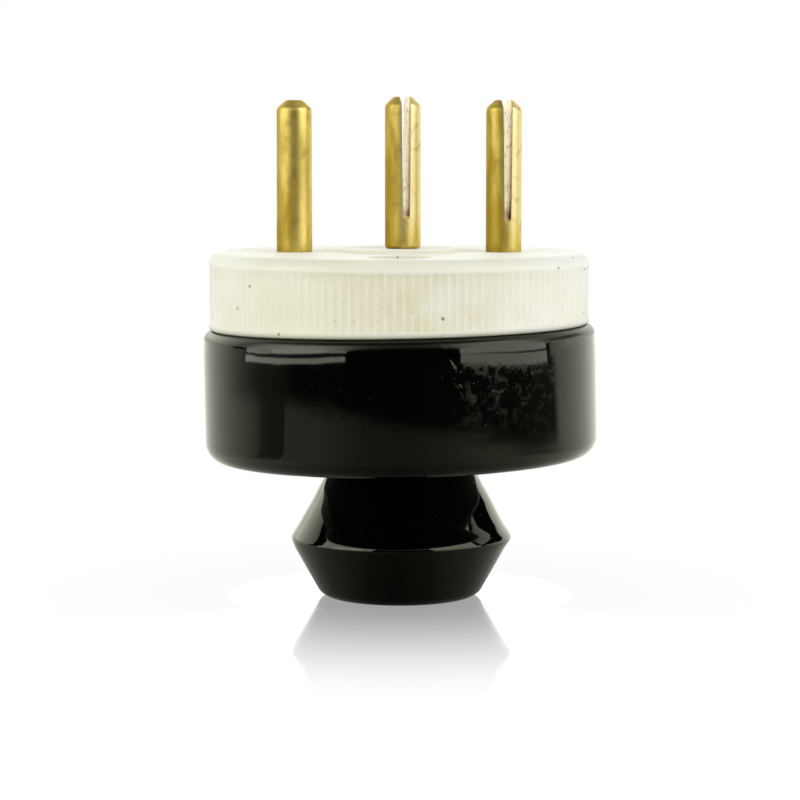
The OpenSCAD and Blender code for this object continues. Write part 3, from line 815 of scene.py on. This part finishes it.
for name, x, seat, foot, turn in (
        ("pin_left", pin_x[0], pin_seat[0], 0, radians(90)),
        ("pin_middle", pin_x[1], pin_seat[1], 0.45, radians(12)),
        ("pin_right", pin_x[2], pin_seat[2], 0, radians(12))):
    piece = slotted_pin(name + "_turned", foot)
    coat(piece, brass, sawn)
    start_edit(piece)
    bpy.ops.mesh.select_mode(type="FACE")
    shape = bmesh.from_edit_mesh(piece.data)
    for face in shape.faces:
        centre = face.calc_center_median() / MM
        across = abs(face.normal.x) > 0.9 and abs(centre.x) < slot_tip + 0.05
        face.select = across and centre.z > pin_len - slot_len
    bmesh.update_edit_mesh(piece.data)
    piece.active_material_index = 1
    bpy.ops.object.material_slot_assign()
    bpy.ops.object.mode_set(mode="OBJECT")
    put(piece, x=x, z=seat, turn=turn)
    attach(piece, "root")
    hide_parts(name)

# Nuts and washers. Two plain washers and two hexagon nuts, milled from brass rod, go on each pin's
# shank: the lower pair fixes the pin in the plate, and the upper pair clamps the wire's end.


def dress(beginnings, material):
    """Gives a material to the CAD nodes whose names begin like this."""
    for name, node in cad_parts.items():
        if name.startswith(beginnings):
            for slot in node.material_slots:
                slot.material = material


dress(("seat_washer", "fixing_nut", "terminal"), brass)

# Assembly screws. Two brass cheese-head screws, one on each side of the row of pins, pass through
# the plate into square nuts in the drum's bosses and hold the two halves together.

head_r = 3.2
head_low = 43.5
head_top = 45.9
screw_r = 1.75
screw_tip = 27.45
driver_slot_half = 0.45
driver_slot_deep = 1.1
for name, side in (("screw_front", -1), ("screw_back", 1)):
    screw = turned(name + "_turned", [
        (0, screw_tip, 0),
        (screw_r - thread_chamfer, screw_tip, 0),
        (screw_r, screw_tip + thread_chamfer, 0),
        (screw_r, head_low, 0),
        (head_r, head_low, 0.1),
        (head_r, head_top, 0.4),
        (0, head_top, 0),
    ], around=96, longest=1.5)
    driver_slot = block((-head_r - 1, -driver_slot_half, head_top - driver_slot_deep),
                        (head_r + 1, driver_slot_half, head_top + 1))
    combine(screw, driver_slot, "DIFFERENCE")
    break_edges(screw)
    put(screw, y=side * screw_y)
    smooth(screw)
    coat(screw, brass)
    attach(screw, "root")
    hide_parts(name)
dress("square_nut", brass)

# Fibre washers. A red-brown washer of vulcanised fibre lies under each screw's head, so that the
# brass doesn't crack the porcelain when it is tightened.

mottle_size = 0.8
fibre = new_material("vulcanised_fibre")
place = add(fibre, "ShaderNodeTexCoord").outputs["Object"]
mottle = add(fibre, "ShaderNodeTexNoise", {
    "Vector": place, "Scale": 1 / (mottle_size * MM), "Detail": 4})
fibre_tone = add(fibre, "ShaderNodeMix", {
    0: mottle.outputs["Fac"], 6: linear("#6e3226"), 7: linear("#8a4636")}, data_type="RGBA")
fibre_shader = add(fibre, "ShaderNodeBsdfPrincipled", {
    "Base Color": fibre_tone.outputs[2], "Roughness": 0.6})
add(fibre, "ShaderNodeOutputMaterial", {"Surface": fibre_shader.outputs["BSDF"]})
dress("screw_washer", fibre)

# Studio. The plug stands on a glossy white sheet between two tall soft boxes, with a white wall
# behind it. The room in front of it is dark, and so is the sheet there from a quarter of a metre
# away, so that the glaze shows black.

camera_x = 0.13
camera_y = -378
camera_z = 63
camera_aim_z = 26.6
lens = bpy.data.cameras.new("camera")
lens.lens = 126
lens.sensor_width = 36
camera = bpy.data.objects.new("camera", lens)
bpy.context.scene.collection.objects.link(camera)
camera.location = (camera_x * MM, camera_y * MM, camera_z * MM)
camera.rotation_euler = (pi / 2 - atan2(camera_z - camera_aim_z, -camera_y), 0, 0)
bpy.context.scene.camera = camera

sheet_half = 2000
bpy.ops.object.select_all(action="DESELECT")
bpy.ops.mesh.primitive_plane_add(size=2 * sheet_half * MM)
sheet = bpy.context.object
sheet.name = "white_sheet"


def bearing(where, point):
    """Where a point lies round the plug, from 0 to 1. The camera's side is 0.5, the right 0.75."""
    parts = add(where, "ShaderNodeSeparateXYZ", {"Vector": point})
    nearer = add(where, "ShaderNodeMath", {0: parts.outputs["Y"], 1: -1.0}, operation="MULTIPLY")
    angle = add(where, "ShaderNodeMath", {
        0: parts.outputs["X"], 1: nearer.outputs["Value"]}, operation="ARCTAN2")
    share = add(where, "ShaderNodeMapRange", {
        "Value": angle.outputs["Value"], "From Min": -pi, "From Max": pi})
    return share.outputs["Result"]


def brightness(where, share, stops):
    """Brightness round the plug, from (degrees right of the camera, brightness) pairs."""
    ramp = add(where, "ShaderNodeValToRGB", {"Fac": share})
    spots = ramp.color_ramp.elements
    for number, (turn, level) in enumerate(stops):
        spot = spots[number] if number < 2 else spots.new(1)
        spot.position = (turn + 180) / 360
        spot.color = (level, level, level, 1)
    return ramp.outputs["Color"]


# White gloss card. The eye sees it white, with the plug's foot mirrored in it and the mirror fading
# with distance. The glaze and the brass see a painted map of how the studio's light falls on it, with pools
# of light and the plug's shadow
card = new_material("white_gloss_card")
place = add(card, "ShaderNodeTexCoord").outputs["Object"]
distance = add(card, "ShaderNodeVectorMath", {0: place}, operation="LENGTH").outputs["Value"]
share = bearing(card, place)
close_by = brightness(card, share, (
    (-180, 1.25), (-146, 1.15), (-121, 0.92), (-101, 0.7), (-88, 0.5), (-82, 0.18), (-67.5, 0.15),
    (-67, 0.42), (-44, 0.4), (-21, 0.2), (0, 0.16), (22, 0.24), (44, 0.46), (60, 0.48), (72, 0.3),
    (86, 0.33), (97, 0.62), (103, 0.88), (120, 1.08), (143, 1.35), (180, 1.25)))
far_off = brightness(card, share, (
    (-180, 1.25), (-146, 1.18), (-121, 0.95), (-101, 0.42), (-87, 0.17), (-70, 0.1), (-60, 0.02),
    (0, 0.01), (60, 0.04), (97, 0.1), (102, 0.9), (120, 1.13), (143, 1.4), (180, 1.25)))
past = add(card, "ShaderNodeMapRange", {
    "Value": distance, "From Min": 245 * MM, "From Max": 292 * MM}, interpolation_type="SMOOTHSTEP")
lit = add(card, "ShaderNodeMix", {0: past.outputs["Result"], 6: close_by, 7: far_off}, data_type="RGBA")
# Painted light and shadow: under the plug's overhang the card is painted as lit from the sides, and darker
# near the foot
at_foot = brightness(card, share, (
    (-180, 1.2), (-121, 0.95), (-90, 0.75), (-75, 0.62), (-60, 0.52), (-44, 0.42), (-21, 0.2), (0, 0.16),
    (22, 0.24), (44, 0.46), (60, 0.52), (75, 0.66), (90, 0.8), (121, 1.1), (180, 1.2)))
beside = add(card, "ShaderNodeMapRange", {
    "Value": distance, "From Min": 60 * MM, "From Max": 120 * MM})
round_plug = add(card, "ShaderNodeMix", {
    0: beside.outputs["Result"], 6: at_foot, 7: lit.outputs[2]}, data_type="RGBA")
painted_foot_shadow = add(card, "ShaderNodeMapRange", {
    "Value": distance, "From Min": 14 * MM, "From Max": 60 * MM, "To Min": 0.36})
mirrored_light = add(card, "ShaderNodeMix", {
    0: painted_foot_shadow.outputs["Result"], 6: (0, 0, 0, 1), 7: round_plug.outputs[2]}, data_type="RGBA")
# The card and the wall behind have a faint cream tone, which shows only where they are mirrored
cream = linear("#fdffef")
creamy = add(card, "ShaderNodeMix", {
    0: 1.0, 6: mirrored_light.outputs[2], 7: cream}, data_type="RGBA", blend_type="MULTIPLY")
mirrored = add(card, "ShaderNodeEmission", {"Color": creamy.outputs[2], "Strength": 1.0})
matt = add(card, "ShaderNodeBsdfDiffuse", {"Color": linear("#f0f0ef")})
white_share = add(card, "ShaderNodeMapRange", {
    "Value": distance, "From Min": 15 * MM, "From Max": 55 * MM, "To Min": 0.9, "To Max": 1.0})
bright = add(card, "ShaderNodeEmission", {"Color": (1, 1, 1, 1), "Strength": 1.0})
white = add(card, "ShaderNodeMixShader", {
    0: white_share.outputs["Result"], 1: matt.outputs["BSDF"], 2: bright.outputs["Emission"]})
shine = add(card, "ShaderNodeFresnel", {"IOR": 1.55})
fade = add(card, "ShaderNodeMapRange", {
    "Value": distance, "From Min": 8 * MM, "From Max": 74 * MM, "To Min": 1.56, "To Max": 0.0},
    interpolation_type="SMOOTHSTEP")
# Only in front of the plug and round its foot does the eye see the card's mirror
in_front = brightness(card, share, ((-180, 0), (-62, 0), (-40, 1), (40, 1), (62, 0), (180, 0)))
at_the_foot = add(card, "ShaderNodeMapRange", {
    "Value": distance, "From Min": 24 * MM, "From Max": 15 * MM})
polished = add(card, "ShaderNodeMath", {0: in_front, 1: at_the_foot.outputs["Result"]}, operation="MAXIMUM")
fading_shine = add(card, "ShaderNodeMath", {
    0: shine.outputs["Fac"], 1: fade.outputs["Result"]}, operation="MULTIPLY")
mirror = add(card, "ShaderNodeMath", {
    0: fading_shine.outputs["Value"], 1: polished.outputs["Value"]}, operation="MULTIPLY")
gloss = add(card, "ShaderNodeBsdfGlossy", {"Color": (1, 1, 1, 1), "Roughness": 0.03})
seen = add(card, "ShaderNodeMixShader", {
    0: mirror.outputs["Value"], 1: white.outputs["Shader"], 2: gloss.outputs["BSDF"]})
path = add(card, "ShaderNodeLightPath")
in_gloss = add(card, "ShaderNodeMixShader", {
    0: path.outputs["Is Glossy Ray"], 1: matt.outputs["BSDF"], 2: mirrored.outputs["Emission"]})
either = add(card, "ShaderNodeMixShader", {
    0: path.outputs["Is Camera Ray"], 1: in_gloss.outputs["Shader"], 2: seen.outputs["Shader"]})
add(card, "ShaderNodeOutputMaterial", {"Surface": either.outputs["Shader"]})
coat(sheet, card)


def soft_box(name, azimuth, distance, width, low, high, roll, radiance):
    """An upright soft box facing the plug. Azimuth is degrees right of the camera, sizes in mm."""
    lamp = bpy.data.lights.new(name, "AREA")
    lamp.shape = "RECTANGLE"
    lamp.size = width * MM
    lamp.size_y = (high - low) * MM
    lamp.energy = radiance * pi * lamp.size * lamp.size_y
    holder = bpy.data.objects.new(name, lamp)
    bpy.context.scene.collection.objects.link(holder)
    turn = radians(azimuth)
    holder.location = (sin(turn) * distance * MM, -cos(turn) * distance * MM, (low + high) / 2 * MM)
    holder.rotation_euler = (pi / 2, radians(roll), turn)
    holder.visible_camera = False
    return holder


# Each soft box has a narrow second panel below it, with a dark slit between the two
left_place = {"azimuth": -64.5, "distance": 450, "width": 605}
right_place = {"azimuth": 63.3, "distance": 450, "width": 497}
soft_box("left_soft_box", **left_place, low=27.4, high=560, roll=-2.4, radiance=2.3)
soft_box("left_foot_panel", **left_place, low=12.4, high=21.0, roll=-2.0, radiance=2.6)
soft_box("right_soft_box", **right_place, low=40.0, high=600, roll=1.0, radiance=2.3)
soft_box("right_foot_panel", **right_place, low=22.8, high=38.0, roll=1.3, radiance=2.0)
# The left one's tube shows through its cloth, which the gloss mirrors and the porcelain doesn't feel
tube = soft_box(
    "left_tube", azimuth=-60, distance=445, width=280, low=30, high=360, roll=-2.4, radiance=1.4)
tube.visible_diffuse = False
fill = soft_box(
    "front_fill", azimuth=20, distance=900, width=900, low=200, high=700, roll=0, radiance=1.1)
fill.visible_glossy = False

world = bpy.data.worlds.new("studio")
bpy.context.scene.world = world
world.use_nodes = True
world.node_tree.nodes.clear()
direction = add(world, "ShaderNodeTexCoord").outputs["Generated"]
share = bearing(world, direction)
horizon = brightness(world, share, (
    (-180, 1.4), (-146, 1.2), (-121, 0.95), (-113.5, 0.8), (-112.5, 0.01), (96.5, 0.01), (98, 0.9),
    (116, 1.35), (143, 1.4), (180, 1.4)))
upper = brightness(world, share, (
    (-180, 1.8), (-145, 1.9), (-122, 1.5), (-113.5, 1.2), (-112.5, 0.01), (98, 0.01), (101, 1.5),
    (140, 1.4), (180, 1.8)))
# Behind the right soft box a black screen hangs before the wall, clear of the floor
screened = brightness(world, share, (
    (-180, 1.8), (-145, 1.9), (-122, 1.5), (-113.5, 1.2), (-112.5, 0.01), (138, 0.01), (141, 1.4),
    (180, 1.8)))
# Heights here are the sine of the angle above the floor
screen_height = 0.33
screen_reach = 0.11
lamp_height = 0.72
lamp_reach = 0.1
height = add(world, "ShaderNodeSeparateXYZ", {"Vector": direction}).outputs["Z"]
raised = add(world, "ShaderNodeMapRange", {"Value": height, "From Min": 0.1, "From Max": 0.14})
at_screen = add(world, "ShaderNodeMath", {
    0: height, 1: screen_height, 2: screen_reach}, operation="COMPARE")
above = add(world, "ShaderNodeMix", {
    0: at_screen.outputs["Value"], 6: upper, 7: screened}, data_type="RGBA")
wall = add(world, "ShaderNodeMix", {
    0: raised.outputs["Result"], 6: horizon, 7: above.outputs[2]}, data_type="RGBA")
dimming = add(world, "ShaderNodeMapRange", {
    "Value": height, "From Min": 0.3, "From Max": 0.75, "To Min": 1.0, "To Max": 0.35})
dimmed = add(world, "ShaderNodeMix", {
    0: dimming.outputs["Result"], 6: (0, 0, 0, 1), 7: wall.outputs[2]}, data_type="RGBA")
# A dim lamp hangs over the camera, which the drum's rim mirrors as a thin line
over_camera = brightness(world, share, ((-180, 0), (-75, 0), (-65, 0.5), (75, 0.5), (85, 0), (180, 0)))
at_lamp = add(world, "ShaderNodeMath", {0: height, 1: lamp_height, 2: lamp_reach}, operation="COMPARE")
with_lamp = add(world, "ShaderNodeMix", {
    0: at_lamp.outputs["Value"], 6: dimmed.outputs[2], 7: over_camera},
    data_type="RGBA", blend_type="LIGHTEN")
world_path = add(world, "ShaderNodeLightPath")
toned = add(world, "ShaderNodeMix", {
    0: world_path.outputs["Is Glossy Ray"], 6: with_lamp.outputs[2], 7: cream},
    data_type="RGBA", blend_type="MULTIPLY")
room = add(world, "ShaderNodeBackground", {"Color": toned.outputs[2], "Strength": 1.0})
backdrop = add(world, "ShaderNodeBackground", {"Color": (1, 1, 1, 1), "Strength": 1.0})
shown = add(world, "ShaderNodeMixShader", {
    0: world_path.outputs["Is Camera Ray"], 1: room.outputs["Background"],
    2: backdrop.outputs["Background"]})
add(world, "ShaderNodeOutputWorld", {"Surface": shown.outputs["Shader"]})

bpy.context.scene.view_settings.view_transform = "Standard"
